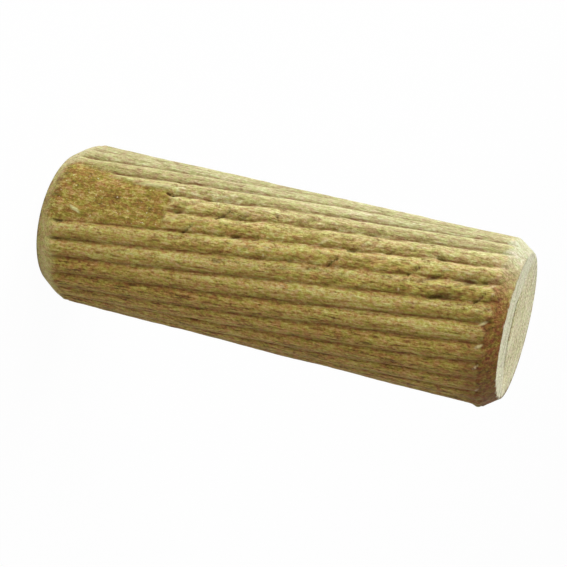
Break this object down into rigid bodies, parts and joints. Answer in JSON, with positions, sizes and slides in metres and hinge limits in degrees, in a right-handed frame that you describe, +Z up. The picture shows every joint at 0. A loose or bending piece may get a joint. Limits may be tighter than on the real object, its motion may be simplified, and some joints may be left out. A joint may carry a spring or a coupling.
{
  "type": "fluted wooden dowel pin",
  "caption": "Short wooden dowel pin with spiral flutes and chamfered ends, crushed flat in one place, glued or pressed into two facing holes to locate and join wooden parts.",
  "frame": {"origin": "centre of the lower sawn end, the end beside the crushed flat", "axes": "+Z up along the pin's axis, -Y towards the side that carries the crushed flat (the flat itself faces 20 degrees from -Y towards -X)"},
  "size_m": [0.0102, 0.0102, 0.0295],
  "materials": {
    "wood": "bare beech, turned, pressed flutes, sawn ends, unvarnished"
  },
  "bodies": {
    "root": {"dowel_pin": "wood"}
  },
  "joints": []
}
